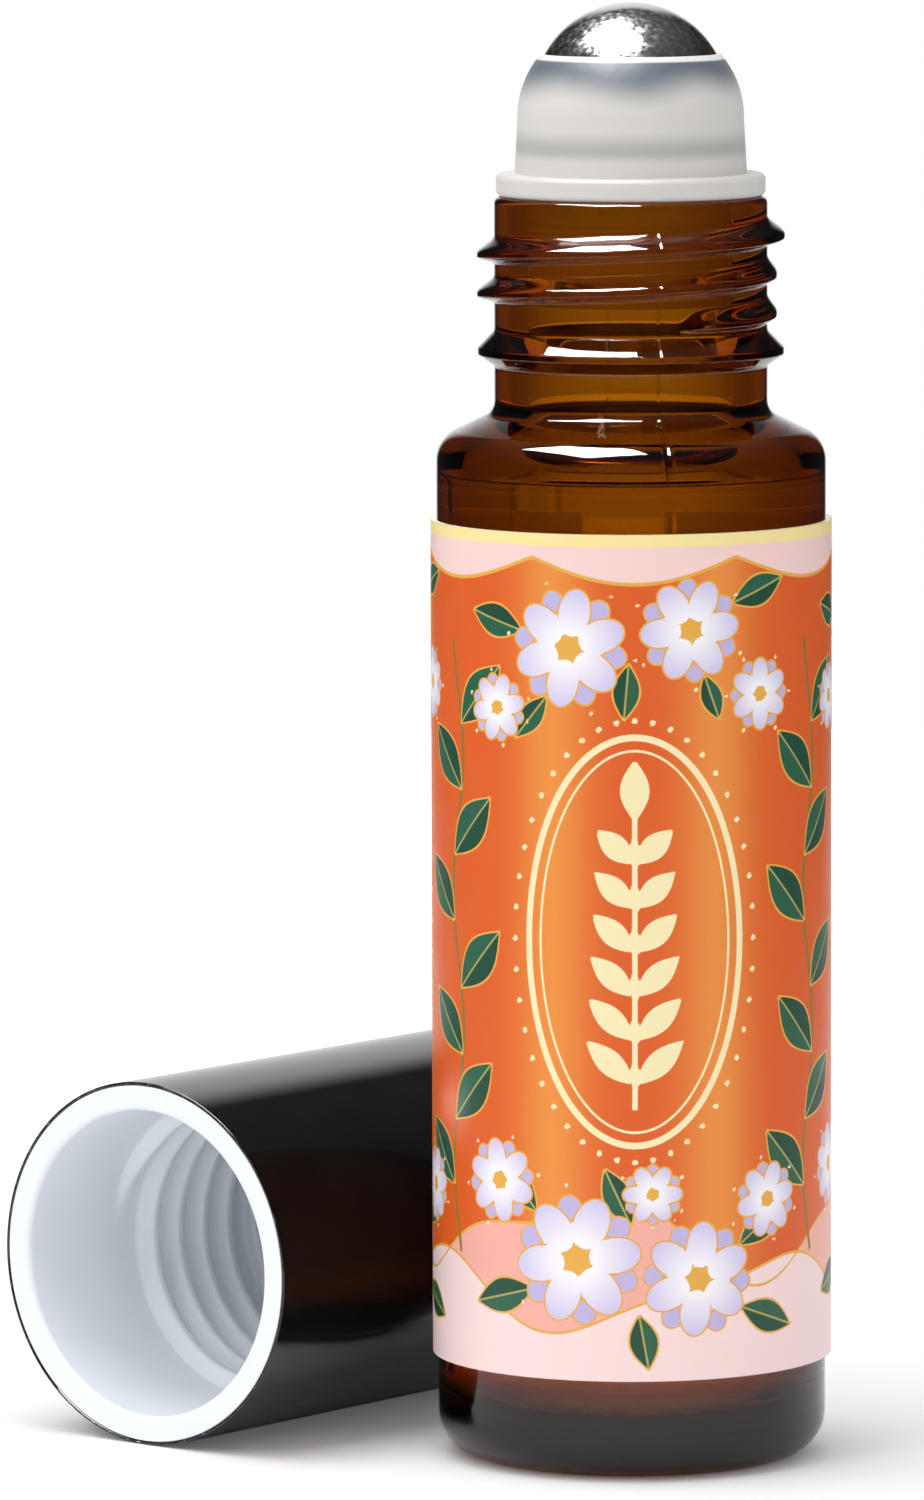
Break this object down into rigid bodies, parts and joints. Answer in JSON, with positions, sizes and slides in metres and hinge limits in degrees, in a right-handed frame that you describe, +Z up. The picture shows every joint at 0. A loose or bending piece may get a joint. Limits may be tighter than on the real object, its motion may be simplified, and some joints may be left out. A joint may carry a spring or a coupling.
{
  "type": "roll-on bottle",
  "caption": "Slim amber glass roll-on bottle with a wrap label, a steel roller ball in a plug-in housing, and its lined screw cap taken off and lying beside it.",
  "frame": {"origin": "centre of the ring that the bottle stands on", "axes": "+Z up the bottle's axis, -Y towards the front of the label, +X to the right seen from the front; the cap lies to the left and behind"},
  "size_m": [0.043, 0.0391, 0.0749],
  "materials": {
    "amber_glass": "clear amber moulded glass, glossy",
    "printed_film": "printed film label, satin gloss",
    "milky_plastic": "milky translucent moulded plastic, satin",
    "polished_steel": "polished stainless steel",
    "oil": "clear oil",
    "black_shell": "gloss black coated aluminium",
    "white_plastic": "white moulded plastic, satin"
  },
  "bodies": {
    "bottle": {"glass_bottle": "amber_glass", "wrap_label": "printed_film", "roller_housing": "milky_plastic", "oil_fill": "oil"},
    "ball": {"roller_ball": "polished_steel"},
    "cap": {"cap_shell": "black_shell", "cap_liner": "white_plastic"}
  },
  "joints": [
    {"name": "roller_spin", "type": "hinge", "parent": "bottle", "child": "ball", "pos_m": [0, 0, 0.06985], "axis": [1, 0, 0], "continuous": true},
    {"name": "cap_lift", "type": "slide", "parent": "bottle", "child": "cap", "axis": [0, 0, 1], "range_m": [0, 0.08]}
  ]
}
